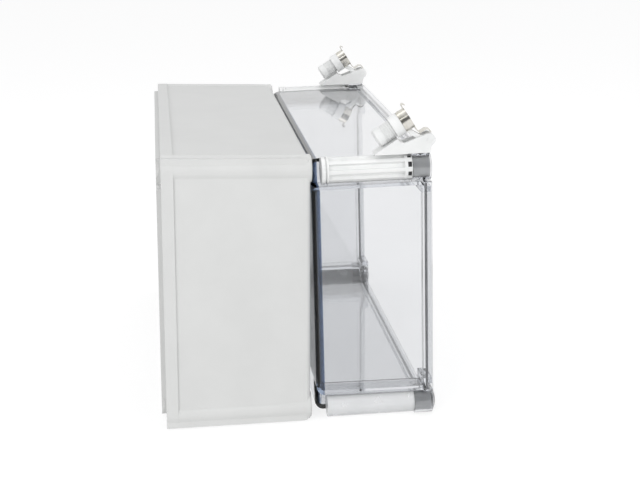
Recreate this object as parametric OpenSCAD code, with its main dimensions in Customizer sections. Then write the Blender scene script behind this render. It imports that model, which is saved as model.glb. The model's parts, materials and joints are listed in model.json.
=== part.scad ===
// Hinged polycarbonate enclosure, taken apart and stood on its long side.
// The base's mouth faces -X. The cover stands behind the base's back with its mouth facing +X.
// Origin: centre of the wall fixings, in the plane of the feet on the base's back. +Z is up.

/* [Base] */
// Length of the base, along Y
base_len = 360; // [300:1:420]
// Height of the base, along Z
base_h = 200; // [180:1:260]
// Depth of the base from its rim to its back
base_depth = 104; // [80:1:140]
// Draft of each side of the base, in degrees
base_draft = 0.95; // [0.5:0.05:1.2]
// Wall thickness of the base
base_wall = 3; // [2.4:0.1:3.6]
// Radius of the base's corner columns
base_column_r = 10.5; // [10:0.1:12]
// How far the side panels lie below the flange and the columns
panel_step = 1.3; // [0.6:0.1:1.5]
// Width of the rim flange
base_flange = 8.5; // [6:0.5:12]
// Radius of the edges round the back
back_edge_r = 4; // [2:0.5:5]
// Height of the round feet on the back
foot_h = 1; // [0.6:0.1:1.2]
// Radius of the round feet
foot_r = 9.4; // [8:0.1:9.6]

/* [Seal] */
// Height of the lip on the base's rim
lip_h = 3.3; // [2.5:0.1:3.6]
// Thickness of the lip
lip_t = 2.4; // [2:0.1:2.6]
// Width of the groove in the cover's rim
groove_w = 3.4; // [3.2:0.1:3.8]
// Depth of the groove
groove_d = 5; // [4.8:0.1:5.6]
// Thickness of the gasket in the groove
gasket_t = 1.6; // [1:0.1:1.7]

/* [Cover] */
// Step of the cover's outline inside the base's outline
cover_inset = 2.5; // [1:0.1:3]
// Depth of the cover from its front to its mouth
cover_depth = 85; // [60:1:120]
// Thickness of the cover's walls
cover_wall = 2.8; // [2.4:0.1:3.2]
// Thickness of the cover's front plate
front_t = 3.6; // [3:0.1:5]
// Draft of each side of the cover, in degrees
cover_draft = 0.5; // [0:0.1:0.8]
// Radius of the edges round the front
front_edge_r = 5.5; // [4:0.5:6]
// Width of the cover's rim flange, along X
rim_w = 7; // [6:0.5:9]
// How far the cover's panels lie below its rim flange
rim_step = 2.2; // [1.5:0.1:2.5]
// Radius of the corner cups
cup_r = 9.8; // [9:0.1:10]
// Radius of the bore in a corner cup
cup_bore_r = 8.1; // [7.8:0.1:8.3]
// Length of a corner cup
cup_len = 13.2; // [12:0.1:15]
// Lean of the loose cover against the base, in degrees
cover_tilt = 1.6; // [1:0.1:2]
// Distance from the feet's plane to the centre of the cover's mouth
mouth_x = 86.9; // [86.9:0.1:120]

/* [Spindles] */
// Distance from the front plate's face to a spindle's head
head_inset = 7.5; // [6:0.5:10]
// Radius of a top spindle's head
head_r = 9.7; // [9:0.1:9.8]
// Radius over the fins of a top spindle
fin_r = 9.2; // [8.5:0.1:9.4]
// Radius of a top spindle's core
core_r = 6.9; // [5:0.1:7.5]
// Number of fins round a top spindle
fin_count = 8; // [4:1:10]
// Thickness of a fin
fin_t = 2.6; // [1.5:0.1:3]
// Length of the slotted neck before the cup
neck_len = 3.8; // [3:0.1:5]
// Radius of a bottom lock's tube
tube_r = 8.6; // [8:0.1:8.7]
// Height of a bottom lock's nose past the mouth
nose_h = 3; // [2:0.1:3.2]

/* [Hinge] */
// Height of the hinge pin above the column's axis
pin_rise = 20; // [19:0.1:21]
// Distance of the hinge pin behind the mouth plane
pin_back = 1; // [0.5:0.1:2]
// Radius of the hinge pin
pin_r = 1.9; // [1.6:0.1:2.2]
// Radius of the hinge eyes
eye_r = 4.3; // [4:0.1:4.6]
// Thickness of a bracket cheek
cheek_t = 3.2; // [2.5:0.1:3.5]
// Thickness of the hinge arm
arm_t = 7.2; // [6:0.1:7.6]
// Distance from the pin to the collar's face, along the plug
face_reach = 10.5; // [10:0.1:11]
// Angle that the arm is folded back from its closed place, in degrees
arm_open = 211.5; // [180:0.5:225]
// Radius of the collar
collar_r = 8.15; // [8:0.05:8.25]
// Length of the collar
collar_len = 6.8; // [6:0.1:7.5]
// Radius over the plug's rings
ring_r = 6.8; // [6.5:0.05:6.85]
// Pitch of the plug's rings
ring_pitch = 1.58; // [1.4:0.01:1.8]
// Number of rings on the plug
ring_count = 5; // [3:1:6]
// Width of the spring clip
clip_w = 7; // [6:0.1:7.2]
// Thickness of the spring clip's strip
clip_t = 0.7; // [0.5:0.1:0.9]

/* [Mounting] */
// Radius of the wall fixing holes
wall_hole_r = 2.6; // [2.2:0.1:3]
// Spacing of the mounting plate bosses along Y
boss_span_y = 280; // [200:5:290]
// Spacing of the mounting plate bosses along Z
boss_span_z = 140; // [80:5:150]
// Height of a mounting plate boss above the floor
boss_h = 14; // [8:1:30]
// Radius of a mounting plate boss
boss_r = 4.5; // [4:0.5:6]
// Radius of the screw hole in a mounting plate boss
boss_hole_r = 1.75; // [1.5:0.05:2]

/* [Hidden] */
$fn = 64;
near = -1;
far = 1;
top = 1;
bottom = -1;
round_steps = 4;
grey = [0.84, 0.85, 0.84];
clear_pc = [0.75, 0.80, 0.86, 0.35];
white = [0.93, 0.93, 0.92];
steel = [0.72, 0.70, 0.66];
dark = [0.12, 0.12, 0.13];
overcut = 1;

// Base: x positions of its rim and back, and the half sizes of its outline
back_x = -foot_h;
rim_x = back_x - base_depth;
half_l = base_len / 2;
half_h = base_h / 2;
base_taper = base_depth * tan(base_draft);

// Cover: half sizes of its rim and the axes of its columns, which the base's sockets share
cover_l = half_l - cover_inset;
cover_h = half_h - cover_inset;
axis_y = cover_l - cup_r;
axis_z = cover_h - cup_r;
notch_gap = 0.3;
notch_y = axis_y - cup_r + notch_gap;
notch_z = axis_z - cup_r + notch_gap;
panel_l = cover_l - rim_step;
panel_h = cover_h - rim_step;
cover_taper = cover_depth * tan(cover_draft);
rim_inner = 7;
rim_notch = 8.5;
table_slope = tan(base_draft);
mouth_z = -half_h + (mouth_x + cover_h * sin(cover_tilt) - rim_x) * table_slope
    + cover_h * cos(cover_tilt);

// Seal: middle line of the groove and the lip, from the cover's outline and from its notches
seal_in = 3.5;
seal_notch = 2.4;

// Spindles and locks
disc_t = 2.5;
flange_t = 1.8;
slot_t = 1.8;
slot_l = 14;
slot_d = 2.2;
journal_gap = 0.15;
ring_seat = 0.9;
window_w = 3.8;
hollow_r = 5.5;
hollow_d = 8;
floor_t = 4;
stem_r = 6;
stem_l = 9;

// Hinge: bracket and clearances
pad_rise = 0.9;
pad_w = 10;
arm_gap = 0.2;
pin_clearance = 0.05;
socket_gap = 0.2;
ramp_gap = 0.4;
cheek_out = arm_t / 2 + arm_gap + cheek_t;
plug_len = 21;
spigot_r = 4;
eye_t = pin_rise;
clip_face = 6.8;
neck_r = 7.2;
fit = 0.1;
band_gap = 0.2;

// Flat outline with round corners, made of exact arcs
module round_rect(l, h, r) {
    square([l - 2 * r, h], center = true);
    square([l, h - 2 * r], center = true);
    for (y = [-1, 1], z = [-1, 1])
        translate([y * (l / 2 - r), z * (h / 2 - r)]) circle(r);
}

// Rectangle with its four corners cut out, given by half sizes and the place of the cuts
module notched(l, h, cut_l, cut_h) {
    square([2 * l, 2 * cut_h], center = true);
    square([2 * cut_l, 2 * h], center = true);
}

// Stands a flat outline up along X: its first axis becomes Y and its second becomes Z
module along_x(x0, x1) {
    translate([x0, 0, 0]) rotate([90, 0, 90]) linear_extrude(x1 - x0) children();
}

// Cylinder along X
module rod_x(x0, x1, r) {
    translate([x0, 0, 0]) rotate([0, 90, 0]) cylinder(r = r, h = x1 - x0);
}

// Slab of a given half size, one side of it at x and the rest of it towards the open end
module slab(x, dir, l, h) {
    translate([x - (dir > 0 ? 0.1 : 0), -l, -h]) cube([0.1, 2 * l, 2 * h]);
}

// Box with rounded edges at its closed end, towards which it narrows
module drafted_box(x_open, x_closed, l, h, taper, r) {
    dir = sign(x_closed - x_open);
    hull() {
        slab(x_open + dir * 0.1, dir, l, h);
        for (i = [0 : round_steps]) {
            turn = 90 * i / round_steps;
            inset = taper + r * (1 - cos(turn));
            slab(x_closed - dir * r * (1 - sin(turn)), dir, l - inset, h - inset);
        }
    }
}

// Puts children at the four corners, mirrored about the middle planes
module at_corners(y, z) {
    for (side = [near, far], level = [bottom, top])
        translate([0, side * y, level * z]) children();
}

// Moves from the cover's own frame, whose origin is the middle of its mouth, to the part's frame
module on_cover() {
    translate([mouth_x, 0, mouth_z]) rotate([0, -cover_tilt, 0]) children();
}

// One corner column axis of the cover
module at_column(side, level) {
    on_cover() translate([0, side * axis_y, level * axis_z]) children();
}

// One column of the base, leaning inwards with the draft
module base_column(side, level) {
    y = side * (half_l - base_column_r);
    z = level * (half_h - base_column_r);
    lean_y = -side * base_draft;
    lean_z = level * base_draft;
    intersection() {
        translate([rim_x, y, z]) rotate([0, lean_z, lean_y]) rod_x(-overcut, base_depth + overcut, base_column_r);
        translate([rim_x, -half_l, -half_h]) cube([base_depth, base_len, base_h]);
    }
}

// Socket for a hinge plug or a lock nose, open at the rim, with the wall fixing hole behind it
module base_socket() {
    dish_r = cup_r - 0.1;
    dish_d = nose_h + 0.6;
    ball_r = (dish_r * dish_r + dish_d * dish_d) / (2 * dish_d);
    face_x = rim_x + face_reach - pin_back;
    translate([rim_x + dish_d - ball_r, 0, 0]) sphere(ball_r);
    rod_x(rim_x - overcut, face_x + collar_len + socket_gap, collar_r + socket_gap);
    rod_x(rim_x, face_x + plug_len + 1, ring_r + 0.15);
    rod_x(rim_x, overcut, wall_hole_r);
}

// Slit beside a bottom socket that lets the hinge arm and the clip's curl in
module arm_slit() {
    slit_w = arm_t + 2 * arm_gap + 0.6;
    slit_d = face_reach - pin_back + 0.5;
    translate([rim_x - overcut, -slit_w / 2, -base_column_r - 2 * overcut - 2])
        cube([slit_d + overcut, slit_w, base_column_r + 2 * overcut + 2 + 11.8]);
}

module mounting_boss() {
    rod_x(back_x - base_wall - boss_h, back_x - overcut, boss_r);
}

module base_shell() {
    floor_x = back_x - base_wall;
    inner_l = half_l - panel_step - base_wall;
    inner_h = half_h - panel_step - base_wall;
    block = cup_r * 2 + rim_inner;
    lip_l = cover_l - seal_in;
    lip_z = cover_h - seal_in;
    lip_cut_y = notch_y - seal_notch;
    lip_cut_z = notch_z - seal_notch;
    color(grey) difference() {
        union() {
            drafted_box(rim_x, back_x, half_l - panel_step, half_h - panel_step, base_taper, back_edge_r);
            along_x(rim_x, rim_x + base_flange) round_rect(base_len, base_h, base_column_r);
            for (side = [near, far], level = [bottom, top]) base_column(side, level);
            at_corners(axis_y, axis_z) rod_x(back_x - overcut, 0, foot_r);
            along_x(rim_x - lip_h, rim_x) difference() {
                notched(lip_l + lip_t / 2, lip_z + lip_t / 2, lip_cut_y + lip_t / 2, lip_cut_z + lip_t / 2);
                notched(lip_l - lip_t / 2, lip_z - lip_t / 2, lip_cut_y - lip_t / 2, lip_cut_z - lip_t / 2);
            }
        }
        difference() {
            union() {
                drafted_box(rim_x + base_flange, floor_x, inner_l, inner_h, base_taper, 2);
                along_x(rim_x - overcut, rim_x + base_flange + overcut)
                    notched(cover_l - rim_inner, cover_h - rim_inner, half_l - block, half_h - block);
            }
            for (side = [near, far], level = [bottom, top])
                translate([rim_x, side * half_l, level * half_h])
                    cube([2 * base_depth, 2 * block, 2 * block], center = true);
            at_corners(boss_span_y / 2, boss_span_z / 2) mounting_boss();
        }
        at_corners(axis_y, axis_z) base_socket();
        for (side = [near, far]) translate([0, side * axis_y, -axis_z]) arm_slit();
        at_corners(boss_span_y / 2, boss_span_z / 2)
            rod_x(floor_x - boss_h - overcut, floor_x - 2, boss_hole_r);
    }
}

// Cross-shaped body of the cover: two drafted boxes, one for each pair of walls
module cover_body(front, grow, r) {
    drafted_box(0, front, panel_l + grow, notch_z + grow, cover_taper, r);
    drafted_box(0, front, notch_y + grow, panel_h + grow, cover_taper, r);
}

module cover_shell() {
    front = -cover_depth;
    seal_l = cover_l - seal_in;
    seal_h = cover_h - seal_in;
    seal_cut_y = notch_y - seal_notch;
    seal_cut_z = notch_z - seal_notch;
    g = groove_w / 2;
    color(clear_pc) on_cover() difference() {
        union() {
            cover_body(front, 0, front_edge_r);
            along_x(-rim_w, 0) {
                notched(cover_l, cover_h, notch_y, notch_z);
                square([2 * axis_y, 2 * axis_z], center = true);
            }
            at_corners(axis_y, axis_z) rod_x(-cup_len, 0, cup_r);
            for (side = [near, far])
                translate([-cup_len, side * axis_y - pad_w / 2, axis_z + cup_r / 2])
                    cube([cup_len - 1, pad_w, cup_r / 2 + pad_rise]);
        }
        difference() {
            cover_body(front + front_t, -cover_wall, 2.5);
            along_x(-rim_w, overcut) difference() {
                square([4 * cover_l, 4 * cover_h], center = true);
                notched(cover_l - rim_inner, cover_h - rim_inner, notch_y - rim_notch, notch_z - rim_notch);
            }
        }
        along_x(-overcut, overcut)
            notched(cover_l - rim_inner, cover_h - rim_inner, notch_y - rim_notch, notch_z - rim_notch);
        along_x(-groove_d, overcut) difference() {
            notched(seal_l + g, seal_h + g, seal_cut_y + g, seal_cut_z + g);
            notched(seal_l - g, seal_h - g, seal_cut_y - g, seal_cut_z - g);
        }
        at_corners(axis_y, axis_z) rod_x(-cup_len - overcut, overcut, cup_bore_r);
    }
}

module cover_gasket() {
    seal_l = cover_l - seal_in;
    seal_h = cover_h - seal_in;
    seal_cut_y = notch_y - seal_notch;
    seal_cut_z = notch_z - seal_notch;
    g = groove_w / 2 - 0.02;
    color([0.55, 0.56, 0.58]) on_cover() along_x(-groove_d, -groove_d + gasket_t) difference() {
        notched(seal_l + g, seal_h + g, seal_cut_y + g, seal_cut_z + g);
        notched(seal_l - g, seal_h - g, seal_cut_y - g, seal_cut_z - g);
    }
}

// Driver slot in the head of a spindle
module driver_slot(head_x) {
    translate([head_x - overcut, -slot_t / 2, -slot_l / 2]) cube([slot_d + overcut, slot_t, slot_l]);
}

// Finned spindle: head, fins, flange, slotted neck and the journal in the cup
module top_spindle(side) {
    head_x = -cover_depth + head_inset;
    disc_end = head_x + 2 * disc_t;
    neck_x = -cup_len - neck_len;
    fins_end = neck_x - flange_t;
    window_x = neck_x + 0.4;
    window_t = neck_len - 1;
    journal_r = cup_bore_r - journal_gap;
    color(white) at_column(side, top) difference() {
        union() {
            rod_x(head_x, head_x + disc_t, head_r);
            rod_x(head_x, disc_end, head_r - 1.2);
            rod_x(disc_end - disc_t * 0.55, disc_end, head_r);
            rod_x(head_x, fins_end, core_r);
            for (i = [0 : fin_count - 1]) rotate([i * 360 / fin_count, 0, 0])
                translate([disc_end - overcut, -fin_t / 2, 0])
                    cube([fins_end - disc_end + overcut + 0.1, fin_t, fin_r]);
            rod_x(fins_end, neck_x, fin_r + 0.1);
            rod_x(neck_x, -cup_len - 0.2, fin_r);
            rod_x(-cup_len - 0.5, -1, journal_r);
        }
        driver_slot(head_x);
        translate([window_x, 0, 0]) rotate([0, 90, 0]) rotate_extrude()
            translate([core_r - ring_seat, 0]) square([2.2, window_t]);
        for (i = [0 : fin_count - 1]) rotate([(i + 0.5) * 360 / fin_count, 0, 0])
            translate([window_x, -window_w / 2, core_r]) cube([window_t, window_w, 4]);
        rod_x(-hollow_d, 0, hollow_r);
    }
}

module spindle_ring(side) {
    neck_x = -cup_len - neck_len;
    ring_w = neck_len - 1.2;
    ring_in = core_r - ring_seat + 0.02;
    color(dark) at_column(side, top) translate([neck_x + 0.5, 0, 0]) rotate([0, 90, 0])
        rotate_extrude() translate([ring_in, 0]) square([2, ring_w]);
}

// Smooth spindle with a hollow bore that takes the nose's stem
module bottom_lock(side) {
    head_x = -cover_depth + head_inset;
    journal_r = cup_bore_r - journal_gap;
    color(white) at_column(side, bottom) difference() {
        union() {
            rod_x(head_x, -cup_len - 0.3, tube_r);
            rod_x(-cup_len - 0.4, -1, journal_r);
        }
        driver_slot(head_x);
        rod_x(head_x + floor_t, overcut, stem_r);
    }
}

// Round nose with a stem: a domed disc on a short shaft, turned about the column's axis
module lock_nose(side) {
    cap_r = cup_r - 0.5;
    ball_r = (cap_r * cap_r + nose_h * nose_h) / (2 * nose_h);
    rim = 0.3;
    edge_r = sqrt(ball_r * ball_r - pow(ball_r - nose_h + rim, 2));
    sweep = asin(edge_r / ball_r);
    steps = 12;
    dome = [for (i = [0 : steps]) [ball_r * sin(sweep * i / steps), nose_h - ball_r + ball_r * cos(sweep * i / steps)]];
    color(clear_pc) at_column(side, bottom) rotate([0, 90, 0]) rotate_extrude()
        polygon(concat(dome, [[stem_r, rim], [stem_r, -stem_l], [0, -stem_l]]));
}

// Side view of a bracket cheek, with the mouth plane at x = 0 and the column's axis at y = 0
module cheek_outline() {
    foot = cup_r + pad_rise;
    translate([-pin_back, pin_rise]) circle(eye_r);
    polygon([[0, foot], [0, 14.5], [-pin_back + 4.2, pin_rise - 1], [-pin_back - 1.7, pin_rise + 3.95],
        [-20.9, 17.4], [-21.8, 16.4], [-21.9, 15.2], [-21.1, 13.6], [-19.4, 11.8], [-17.2, foot]]);
}

// Side view of the ramp that the open plug comes to rest over
module ramp_outline() {
    tip = along_open_arm(plug_len + 4.6);
    step = along_open_arm(collar_len + 1);
    base = cup_r + 0.6;
    polygon([[tip[0] - 1.4, base], tip, step, [step[0] + 0.5, step[1] - 1.7], [-19, 18.2], [-17.6, 16],
        [-16.6, base]]);
}

// Point just below the rings of the open plug, at a distance from the collar's face
function along_open_arm(reach) =
    let (dx = reach + face_reach, dz = ring_r + ramp_gap - eye_t)
    [dx * cos(arm_open) - dz * sin(arm_open) - pin_back, dx * sin(arm_open) + dz * cos(arm_open) + pin_rise];

// Stands a side view up: its axes become X and Z, its thickness lies along Y
module side_view(y0, y1) {
    translate([0, y1, 0]) rotate([90, 0, 0]) linear_extrude(y1 - y0) children();
}

module hinge_bracket(side) {
    foot = cup_r + pad_rise;
    color(white) at_column(side, top) difference() {
        union() {
            side_view(cheek_out - cheek_t, cheek_out) cheek_outline();
            side_view(-cheek_out, -cheek_out + cheek_t) cheek_outline();
            translate([-17.2, -cheek_out, foot]) cube([16.6, 2 * cheek_out, 1.5]);
            side_view(-cheek_out, cheek_out) ramp_outline();
        }
        translate([-pin_back, 0, pin_rise]) rotate([90, 0, 0])
            cylinder(r = pin_r, h = 4 * cheek_out, center = true);
    }
}

module hinge_pin(side) {
    color(white) at_column(side, top) translate([-pin_back, 0, pin_rise]) rotate([90, 0, 0])
        cylinder(r = pin_r, h = 2 * cheek_out + 0.8, center = true);
}

// Plug frame: x along the plug from the collar's face, z towards the pin, folded open about the pin
module on_arm(side) {
    at_column(side, top) translate([-pin_back, 0, pin_rise]) rotate([0, -arm_open, 0])
        translate([face_reach, 0, -eye_t]) children();
}

module arm_outline() {
    translate([-face_reach, eye_t]) circle(eye_r - 0.3);
    polygon([[0.2, neck_r], [0.2, 1.4], [-2.6, 1.4], [-3.2, neck_r], [-neck_r, eye_t - 5.4],
        [-face_reach - 2.6, eye_t - 2.6], [-face_reach - 1, eye_t + 3.8], [-face_reach + 2.8, eye_t + 2.7]]);
}

module hinge_arm(side) {
    color(white) on_arm(side) difference() {
        union() {
            rod_x(-clip_face + clip_t / 2 + fit, overcut, neck_r);
            rod_x(0, collar_len, collar_r);
            rod_x(collar_len - overcut, plug_len - 2, spigot_r);
            side_view(-arm_t / 2, arm_t / 2) arm_outline();
        }
        translate([-face_reach, 0, eye_t]) rotate([90, 0, 0])
            cylinder(r = pin_r + pin_clearance, h = 2 * arm_t, center = true);
    }
}

module hinge_plug(side) {
    rings_end = collar_len + ring_count * ring_pitch;
    color(white) on_arm(side) difference() {
        union() {
            rod_x(collar_len, plug_len - 1.2, ring_r - 0.9);
            for (i = [0 : ring_count - 1]) translate([collar_len + (i + 0.35) * ring_pitch, 0, 0])
                rotate([0, 90, 0]) cylinder(r1 = ring_r, r2 = ring_r - 0.7, h = 0.95);
            rod_x(rings_end + 0.6, plug_len - 1.2, ring_r - 0.35);
            translate([plug_len - 1.2, 0, 0]) rotate([0, 90, 0])
                cylinder(r1 = ring_r - 0.35, r2 = ring_r - 1.5, h = 1.2);
        }
        rod_x(collar_len - overcut, plug_len - 2, spigot_r);
    }
}

// Unit vector at a right angle to the line between two points
function square_to(a, b) = [a[1] - b[1], b[0] - a[0]] / norm(b - a);

// Shift of point i of a path that keeps its strip at a constant thickness round the bend
function mitre(path, i) =
    i == 0 ? square_to(path[0], path[1]) :
    i == len(path) - 1 ? square_to(path[i - 1], path[i]) :
    let (m = square_to(path[i - 1], path[i]) + square_to(path[i], path[i + 1])) 2 * m / (m * m);

// Side view of a strip that follows a path
module strip(path) {
    last = len(path) - 1;
    polygon(concat(
        [for (i = [0 : last]) path[i] + mitre(path, i) * clip_t / 2],
        [for (i = [last : -1 : 0]) path[i] - mitre(path, i) * clip_t / 2]));
}

// Spring clip: a split band round the arm's neck, a strip across its end and on to the eye,
// and a finger curl at the other end of the strip
module hinge_clip(side) {
    band_r = neck_r + fit + clip_t;
    bead_x = -clip_face * 0.42;
    curl_r = 1;
    curl_z = -band_r - 1.9;
    web_z = eye_t - 7.1;
    tail = [[-clip_face, -band_r + clip_t / 2], [-clip_face, web_z - 2.5], [-clip_face - 1, web_z],
        [-face_reach - 1.7, web_z], [-face_reach - 3.7, web_z + 1.3], [-face_reach - 3.9, web_z + 4.1]];
    curl = [for (i = [0 : 7]) [-clip_face - curl_r + curl_r * cos(i * 30), curl_z - curl_r * sin(i * 30)]];
    color(steel) on_arm(side) {
        difference() {
            union() {
                rod_x(-clip_face - clip_t / 2, -band_gap, band_r);
                rod_x(bead_x, bead_x + 0.8, band_r + 0.35);
            }
            rod_x(-clip_face - overcut, overcut, neck_r + fit);
            translate([-clip_face - overcut, -arm_t / 2 - arm_gap, 0])
                cube([clip_face + 2 * overcut, arm_t + 2 * arm_gap, 2 * band_r]);
        }
        side_view(-clip_w / 2, clip_w / 2) strip(tail);
        side_view(-clip_w / 2 + 1, clip_w / 2 - 1) strip(concat([[-clip_face, -band_r + 2]], curl));
    }
}

base_shell();
cover_shell();
cover_gasket();
top_spindle(near);  // near_top_spindle
top_spindle(far);  // far_top_spindle
spindle_ring(near);  // near_spindle_ring
spindle_ring(far);  // far_spindle_ring
bottom_lock(near);  // near_bottom_lock
bottom_lock(far);  // far_bottom_lock
lock_nose(near);  // near_lock_nose
lock_nose(far);  // far_lock_nose
hinge_bracket(near);  // near_hinge_bracket
hinge_bracket(far);  // far_hinge_bracket
hinge_pin(near);  // near_hinge_pin
hinge_pin(far);  // far_hinge_pin
hinge_arm(near);  // near_hinge_arm
hinge_arm(far);  // far_hinge_arm
hinge_plug(near);  // near_hinge_plug
hinge_plug(far);  // far_hinge_plug
hinge_clip(near);  // near_hinge_clip
hinge_clip(far);  // far_hinge_clip
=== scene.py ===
# %% [markdown]
# # A clear-covered enclosure, taken apart
# The object is a light grey moulded base with its mouth to the left, and a clear cover with
# its mouth to the right. The cover carries white corner spindles and two folded-out hinge
# units with spring clips. The solids come from the CAD frame; this lesson gives them finer
# skins and their finishes.

# %% Load the frame
import json
import math

import bmesh
import bpy
from mathutils import Matrix, Vector

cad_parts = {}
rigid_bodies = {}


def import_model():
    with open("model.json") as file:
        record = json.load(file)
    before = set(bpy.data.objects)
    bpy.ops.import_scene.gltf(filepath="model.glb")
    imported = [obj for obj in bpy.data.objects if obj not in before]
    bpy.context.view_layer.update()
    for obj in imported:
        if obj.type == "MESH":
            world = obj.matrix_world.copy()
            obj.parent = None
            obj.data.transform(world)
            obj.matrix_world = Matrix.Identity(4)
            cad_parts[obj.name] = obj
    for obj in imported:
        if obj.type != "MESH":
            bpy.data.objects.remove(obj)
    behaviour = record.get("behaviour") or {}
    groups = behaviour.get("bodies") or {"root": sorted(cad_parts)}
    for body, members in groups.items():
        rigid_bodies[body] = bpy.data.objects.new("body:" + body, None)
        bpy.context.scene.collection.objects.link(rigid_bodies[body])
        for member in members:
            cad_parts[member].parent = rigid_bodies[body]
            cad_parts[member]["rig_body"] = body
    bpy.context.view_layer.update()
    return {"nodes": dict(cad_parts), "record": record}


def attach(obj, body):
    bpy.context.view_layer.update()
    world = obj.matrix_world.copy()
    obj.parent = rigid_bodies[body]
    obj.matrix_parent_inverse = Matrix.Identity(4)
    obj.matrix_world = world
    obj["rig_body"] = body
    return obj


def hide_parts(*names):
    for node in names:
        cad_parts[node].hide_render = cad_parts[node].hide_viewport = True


for leftover in list(bpy.data.objects):
    bpy.data.objects.remove(leftover)
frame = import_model()
nodes = frame["nodes"]
MM = 0.001

# %% [markdown]
# ## Camera
# The object is seen from a little above and almost straight at its long side. A long lens
# keeps the corners square. The numbers place the camera about 1.15 m in front of the
# object, turned six degrees to the left.

# %% Camera
LENS_MM = 80.5
camera_data = bpy.data.cameras.new("camera")
camera_data.lens = LENS_MM
camera_data.sensor_width = 36.0
camera_data.clip_start, camera_data.clip_end = 0.05, 50.0
camera = bpy.data.objects.new("camera", camera_data)
camera.location = (-0.1061, -1.1468, 0.2918)
camera.rotation_euler = [math.radians(a) for a in (75.447, -0.160, -6.524)]
bpy.context.scene.collection.objects.link(camera)
bpy.context.scene.camera = camera
print("camera at", [round(v, 3) for v in camera.location], "lens", LENS_MM, "mm")

# %% [markdown]
# ## Table and light
# Both halves stand on a white table. The base's drafted side lies flat on it, so in the
# frame of the model the table rises by the draft angle. A big plane would do, and a slow
# sweep up behind it would do too; the plane is enough because the world behind it is white.

# %% Table
DRAFT = math.radians(0.95)
RIM_X, RIM_Z = -0.105, -0.1003


def table_height(x):
    """Height of the table under a point at x."""
    return RIM_Z + (x - RIM_X) * math.tan(DRAFT)


bm = bmesh.new()
bmesh.ops.create_grid(bm, x_segments=8, y_segments=8, size=6.0)
for v in bm.verts:
    v.co.z = table_height(v.co.x)
table_mesh = bpy.data.meshes.new("table")
bm.to_mesh(table_mesh)
bm.free()
table = bpy.data.objects.new("table", table_mesh)
bpy.context.scene.collection.objects.link(table)
print("table height under the cover:", round(table_height(0.09) / MM, 1), "mm")

# %% [markdown]
# The table adds a little light of its own. It glows at full strength for what is seen
# directly, in a reflection or through the clear cover. The light that it throws on the
# object is about half of that, like the bounce of a studio's white table. The table keeps
# the soft shadow.

# %% Node helpers


def new_material(name):
    """A node material that holds one Principled BSDF."""
    material = bpy.data.materials.new(name)
    material.use_nodes = True
    tree = material.node_tree
    tree.nodes.clear()
    out = tree.nodes.new("ShaderNodeOutputMaterial")
    skin = tree.nodes.new("ShaderNodeBsdfPrincipled")
    tree.links.new(skin.outputs["BSDF"], out.inputs["Surface"])
    return material, tree, skin, out


def seen_directly(tree):
    """1 for camera, mirror and see-through rays, 0 for light that falls on the object."""
    path = tree.nodes.new("ShaderNodeLightPath")
    total = path.outputs["Is Camera Ray"]
    for kind in ("Is Glossy Ray", "Is Transmission Ray"):
        either = tree.nodes.new("ShaderNodeMath")
        either.operation = "MAXIMUM"
        tree.links.new(total, either.inputs[0])
        tree.links.new(path.outputs[kind], either.inputs[1])
        total = either.outputs[0]
    return total


# %% Table finish
table_material, tree, skin, out = new_material("white_table")
skin.inputs["Base Color"].default_value = (0.30, 0.30, 0.30, 1)
skin.inputs["Roughness"].default_value = 0.9
skin.inputs["Specular IOR Level"].default_value = 0.0
glow = tree.nodes.new("ShaderNodeEmission")
glow.inputs["Color"].default_value = (1, 1, 1, 1)
strength = tree.nodes.new("ShaderNodeMapRange")
BOUNCE_GLOW, SEEN_GLOW = 0.42, 0.78
strength.inputs["To Min"].default_value = BOUNCE_GLOW
strength.inputs["To Max"].default_value = SEEN_GLOW
tree.links.new(seen_directly(tree), strength.inputs["Value"])
tree.links.new(strength.outputs[0], glow.inputs["Strength"])
both = tree.nodes.new("ShaderNodeAddShader")
tree.links.new(skin.outputs["BSDF"], both.inputs[0])
tree.links.new(glow.outputs["Emission"], both.inputs[1])
tree.links.new(both.outputs["Shader"], out.inputs["Surface"])
table_mesh.materials.append(table_material)
print("table finish:", table_material.name)

# %% World
world = bpy.data.worlds.new("studio")
bpy.context.scene.world = world
world.use_nodes = True
tree = world.node_tree
tree.nodes.clear()
world_out = tree.nodes.new("ShaderNodeOutputWorld")
room = tree.nodes.new("ShaderNodeBackground")
room.inputs["Color"].default_value = (0.90, 0.90, 0.91, 1)
room.inputs["Strength"].default_value = 0.66
backdrop = tree.nodes.new("ShaderNodeBackground")
backdrop.inputs["Color"].default_value = (1, 1, 1, 1)
pick = tree.nodes.new("ShaderNodeMixShader")
tree.links.new(seen_directly(tree), pick.inputs["Fac"])
tree.links.new(room.outputs[0], pick.inputs[1])
tree.links.new(backdrop.outputs[0], pick.inputs[2])
tree.links.new(pick.outputs[0], world_out.inputs["Surface"])

# %% [markdown]
# A studio is dark on the side where the camera stands. Bright metal needs that: without a
# dark place to mirror it looks like white paint. So reflections, and only reflections, find
# the front of the room dim.

# %% Dim front of the room
facing = tree.nodes.new("ShaderNodeTexCoord")
split = tree.nodes.new("ShaderNodeSeparateXYZ")
tree.links.new(facing.outputs["Generated"], split.inputs[0])
front = tree.nodes.new("ShaderNodeMapRange")
for socket, value in (("From Min", -0.80), ("From Max", -0.25), ("To Min", 0.90), ("To Max", 0.0)):
    front.inputs[socket].default_value = value
tree.links.new(split.outputs["Y"], front.inputs["Value"])
mirror_ray = tree.nodes.new("ShaderNodeLightPath")
dimmed = tree.nodes.new("ShaderNodeMath")
dimmed.operation = "MULTIPLY"
tree.links.new(front.outputs["Result"], dimmed.inputs[0])
tree.links.new(mirror_ray.outputs["Is Glossy Ray"], dimmed.inputs[1])
left_over = tree.nodes.new("ShaderNodeMath")
left_over.operation = "SUBTRACT"
left_over.inputs[0].default_value = 1.0
tree.links.new(dimmed.outputs[0], left_over.inputs[1])
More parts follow.
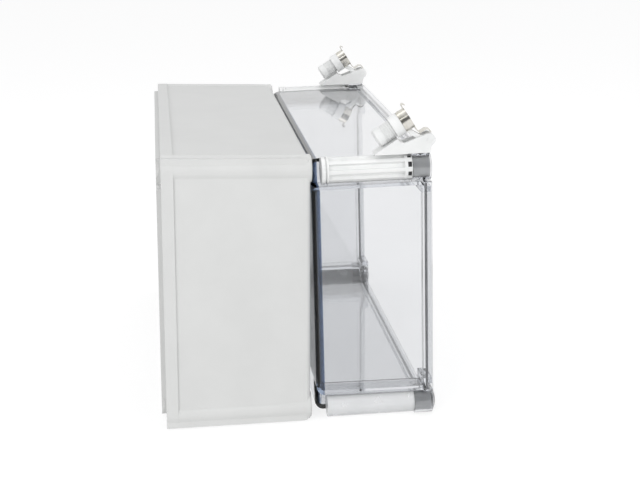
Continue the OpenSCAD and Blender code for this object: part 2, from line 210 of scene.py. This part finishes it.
tree.links.new(left_over.outputs[0], backdrop.inputs["Strength"])
print("front of the room dimmed for reflections")
bpy.context.scene.view_settings.view_transform = "Standard"

# %% Lamps


def softbox(name, where, aim, size, watts):
    """A square area lamp at one point, turned to face another."""
    data = bpy.data.lights.new(name, "AREA")
    data.shape = "SQUARE"
    data.size = size
    data.energy = watts
    lamp = bpy.data.objects.new(name, data)
    lamp.location = where
    lamp.rotation_euler = (Vector(aim) - Vector(where)).to_track_quat("-Z", "Y").to_euler()
    bpy.context.scene.collection.objects.link(lamp)
    return lamp


softbox("overhead", (-0.1, 0.1, 1.6), (0, 0, 0), 1.4, 6)
softbox("front_left", (-1.1, -1.7, 0.8), (0, 0, 0), 1.1, 15)
softbox("front_right", (1.3, -1.6, 0.7), (0, 0, 0), 1.1, 13)

# %% [markdown]
# ## Effects that several finishes share
# Moulded plastic is never quite even. Its skin carries the fine texture of the mould, and
# its colour drifts a little from thick to thin places. One node group makes both from
# Object coordinates, so they sit still on a piece that moves.

# %% Moulding grain group


def group_node(tree, kind, **inputs):
    """A node with some of its inputs set."""
    node = tree.nodes.new(kind)
    for key, value in inputs.items():
        node.inputs[key.replace("_", " ")].default_value = value
    return node


grain_group = bpy.data.node_groups.new("moulding_grain", "ShaderNodeTree")
for socket, start in (("Grain Scale", 900.0), ("Cloud Scale", 25.0)):
    face = grain_group.interface.new_socket(socket, in_out="INPUT", socket_type="NodeSocketFloat")
    face.default_value = start
for socket in ("Height", "Cloud"):
    grain_group.interface.new_socket(socket, in_out="OUTPUT", socket_type="NodeSocketFloat")
g_in = grain_group.nodes.new("NodeGroupInput")
g_out = grain_group.nodes.new("NodeGroupOutput")
place = grain_group.nodes.new("ShaderNodeTexCoord")
fine = group_node(grain_group, "ShaderNodeTexNoise", Detail=3.0, Roughness=0.6)
cloud = group_node(grain_group, "ShaderNodeTexNoise", Detail=4.0, Roughness=0.55)
for noise, socket, result in ((fine, "Grain Scale", "Height"), (cloud, "Cloud Scale", "Cloud")):
    grain_group.links.new(place.outputs["Object"], noise.inputs["Vector"])
    grain_group.links.new(g_in.outputs[socket], noise.inputs["Scale"])
    grain_group.links.new(noise.outputs["Fac"], g_out.inputs[result])
print("group", grain_group.name, "made")

# %% [markdown]
# A moulded finish then needs four things: a colour that drifts between two near tones, a
# gloss that drifts with it, a bump from the grain, and the Principled shader. The helper
# below wires them the same way for each plastic, with its own values.

# %% Moulded plastic helper


def grained(tree, skin, tones, gloss, grain, cloud_scale=25.0, bump=0.1):
    """Drifting colour, drifting gloss and a fine bump on a Principled shader."""
    group = tree.nodes.new("ShaderNodeGroup")
    group.node_tree = grain_group
    group.inputs["Grain Scale"].default_value = grain
    group.inputs["Cloud Scale"].default_value = cloud_scale
    ramp = tree.nodes.new("ShaderNodeValToRGB")
    for stop, where, tone in zip(ramp.color_ramp.elements, (0.35, 0.65), tones):
        stop.position = where
        stop.color = (*tone, 1)
    tree.links.new(group.outputs["Cloud"], ramp.inputs["Fac"])
    tree.links.new(ramp.outputs["Color"], skin.inputs["Base Color"])
    sheen = tree.nodes.new("ShaderNodeMapRange")
    sheen.inputs["To Min"].default_value, sheen.inputs["To Max"].default_value = gloss
    tree.links.new(group.outputs["Cloud"], sheen.inputs["Value"])
    tree.links.new(sheen.outputs["Result"], skin.inputs["Roughness"])
    relief = tree.nodes.new("ShaderNodeBump")
    relief.inputs["Strength"].default_value = bump
    relief.inputs["Distance"].default_value = 0.0002
    tree.links.new(group.outputs["Height"], relief.inputs["Height"])
    tree.links.new(relief.outputs["Normal"], skin.inputs["Normal"])
    return group


# %% Opaque plastics
grey_polycarbonate, tree, skin, out = new_material("grey_polycarbonate_skin")
grained(tree, skin, ((0.625, 0.630, 0.622), (0.650, 0.655, 0.647)), (0.42, 0.55), 1400.0, bump=0.18)
skin.inputs["IOR"].default_value = 1.5

white_polyamide, tree, skin, out = new_material("white_polyamide_skin")
grained(tree, skin, ((0.76, 0.77, 0.765), (0.81, 0.815, 0.81)), (0.34, 0.48), 1100.0, 60.0, 0.12)
skin.inputs["Subsurface Weight"].default_value = 0.12
skin.inputs["Subsurface Radius"].default_value = (0.003, 0.003, 0.003)
skin.inputs["Subsurface Scale"].default_value = 1.0

gasket_foam, tree, skin, out = new_material("gasket_foam_skin")
grained(tree, skin, ((0.22, 0.225, 0.24), (0.30, 0.305, 0.32)), (0.7, 0.85), 2500.0, 90.0, 0.6)

black_rubber, tree, skin, out = new_material("black_rubber_skin")
grained(tree, skin, ((0.018, 0.018, 0.02), (0.035, 0.035, 0.037)), (0.45, 0.6), 1800.0, 90.0, 0.2)

milky_polyamide, tree, skin, out = new_material("milky_polyamide_skin")
grained(tree, skin, ((0.82, 0.83, 0.84), (0.87, 0.88, 0.89)), (0.20, 0.32), 900.0, 60.0, 0.08)
skin.inputs["Transmission Weight"].default_value = 0.25
skin.inputs["IOR"].default_value = 1.45
print("opaque plastics made")

# %% [markdown]
# ## Clear polycarbonate
# Clear sheet looks clear face on and blue-grey along its edges, because light that runs
# along the wall passes through far more plastic. Glass from the Principled shader gives the
# clear face; a Volume Absorption node gives the edge, since it counts the length of the
# path. On the rounded faces round the front plate a dark blue is also painted into the
# colour, as painted shade for that light. The surface keeps a faint flow pattern from moulding.

# %% Clear finish
clear_polycarbonate, tree, skin, out = new_material("clear_polycarbonate_skin")
skin.inputs["Transmission Weight"].default_value = 1.0
skin.inputs["IOR"].default_value = 1.585
grained(tree, skin, ((0.78, 0.787, 0.80), (0.80, 0.807, 0.82)), (0.01, 0.035), 60.0, 14.0, 0.02)
drift = skin.inputs["Base Color"].links[0].from_socket
# Painted shade: the marked faces get a dark blue painted into their colour, standing for light that
# has run along the front plate.
edge = tree.nodes.new("ShaderNodeAttribute")
edge.attribute_name = "painted_edge_shade"
painted_edge_mix = tree.nodes.new("ShaderNodeMix")
painted_edge_mix.data_type = "RGBA"
painted_edge_mix.inputs["B"].default_value = (0.11, 0.16, 0.27, 1)
tree.links.new(edge.outputs["Fac"], painted_edge_mix.inputs["Factor"])
tree.links.new(drift, painted_edge_mix.inputs["A"])
tree.links.new(painted_edge_mix.outputs["Result"], skin.inputs["Base Color"])
tint = tree.nodes.new("ShaderNodeVolumeAbsorption")
tint.inputs["Color"].default_value = (0.40, 0.52, 0.74, 1)
tint.inputs["Density"].default_value = 5.0
tree.links.new(tint.outputs["Volume"], out.inputs["Volume"])
print("clear finish made")

# %% [markdown]
# ## Spring steel
# The clips are bright plated strip, bent while flat. Plating is smooth, with fine drawn
# lines along the strip. Its colour carries a warm cast over the plating's own colour, a
# painted reflection of the plastic that it mirrors.

# %% Steel finish
spring_steel, tree, skin, out = new_material("spring_steel_skin")
# Both tones hold a warm cast, a painted reflection of the plastic, over the plating's own colour.
grained(tree, skin, ((0.60, 0.58, 0.52), (0.72, 0.70, 0.66)), (0.14, 0.26), 500.0, 120.0, 0.12)
skin.inputs["Metallic"].default_value = 1.0
print("steel finish made")

# %% [markdown]
# ## Finer skins for the two shells
# The CAD solids of the shells arrive as loose triangles. A merged copy can be dissolved
# back to its true faces, get a small bevel on each sharp edge and be shaded with weighted
# normals, so flat walls stay flat and edges catch the light.

# %% Finer copy helper


def finer_copy(node, name, material, edge_mm, sharp=32.0):
    """A merged copy of a CAD node with bevelled edges, which then stands for the node."""
    mesh = nodes[node].data.copy()
    bm = bmesh.new()
    bm.from_mesh(mesh)
    bmesh.ops.remove_doubles(bm, verts=bm.verts, dist=0.002 * MM)
    bmesh.ops.dissolve_limit(bm, angle_limit=math.radians(0.3), verts=bm.verts, edges=bm.edges)
    for edge in bm.edges:
        edge.smooth = edge.calc_face_angle(0.0) < math.radians(sharp)
    for face in bm.faces:
        face.smooth = True
    clean = bpy.data.meshes.new(name)
    bm.to_mesh(clean)
    bm.free()
    bpy.data.meshes.remove(mesh)
    piece = bpy.data.objects.new(name, clean)
    bpy.context.scene.collection.objects.link(piece)
    clean.materials.append(material)
    bevel = piece.modifiers.new("soft_edges", "BEVEL")
    bevel.width = edge_mm * MM
    bevel.segments = 2
    bevel.limit_method = "ANGLE"
    bevel.angle_limit = math.radians(40)
    normals = piece.modifiers.new("flat_walls", "WEIGHTED_NORMAL")
    normals.keep_sharp = True
    normals.weight = 60
    body = frame["nodes"][node]["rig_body"]
    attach(piece, body)
    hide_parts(node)
    print(name, "faces:", len(clean.polygons), "on", body)
    return piece


# %% Both shells
base_skin = finer_copy("base_shell", "base_skin", grey_polycarbonate, 0.45)
cover_skin = finer_copy("cover_shell", "cover_skin", clear_polycarbonate, 0.30)

# %% [markdown]
# The deep blue line round the front of a clear box is light that has run the whole length
# of the front plate. Here it is painted shade: a dark blue painted into the colour of the
# rounded faces. The rounded faces are the ones that face no main direction.

# %% Painted edge shade
COVER_TILT = math.radians(1.6)
cover_axes = [Vector((math.cos(COVER_TILT), 0, math.sin(COVER_TILT))), Vector((0, 1, 0))]
cover_axes.append(cover_axes[0].cross(cover_axes[1]))
FRONT_EDGE_X = 0.0085


def is_rounded(face):
    """True for a strip of the rounded edge round the front plate."""
    near_front = face.center.x < FRONT_EDGE_X
    straight = max(abs(face.normal.dot(axis)) for axis in cover_axes) > 0.985
    return near_front and not straight


# Marks the rounded front faces that get the painted dark blue shade.
painted_shade_mark = cover_skin.data.attributes.new("painted_edge_shade", "FLOAT", "FACE")
for face, mark in zip(cover_skin.data.polygons, painted_shade_mark.data):
    mark.value = 1.0 if is_rounded(face) else 0.0
print("rounded faces:", sum(mark.value for mark in painted_shade_mark.data))

# %% Finishes on the CAD nodes
FINISHES = {
    "white_polyamide": white_polyamide,
    "milky_polyamide": milky_polyamide,
    "spring_steel": spring_steel,
    "gasket_foam": gasket_foam,
    "black_rubber": black_rubber,
    "clear_polycarbonate": clear_polycarbonate,
    "grey_polycarbonate": grey_polycarbonate,
}
for part in frame["record"]["subparts"]:
    node = nodes[part["node"]]
    for slot in node.material_slots:
        slot.material = FINISHES[part["material_slot"]]
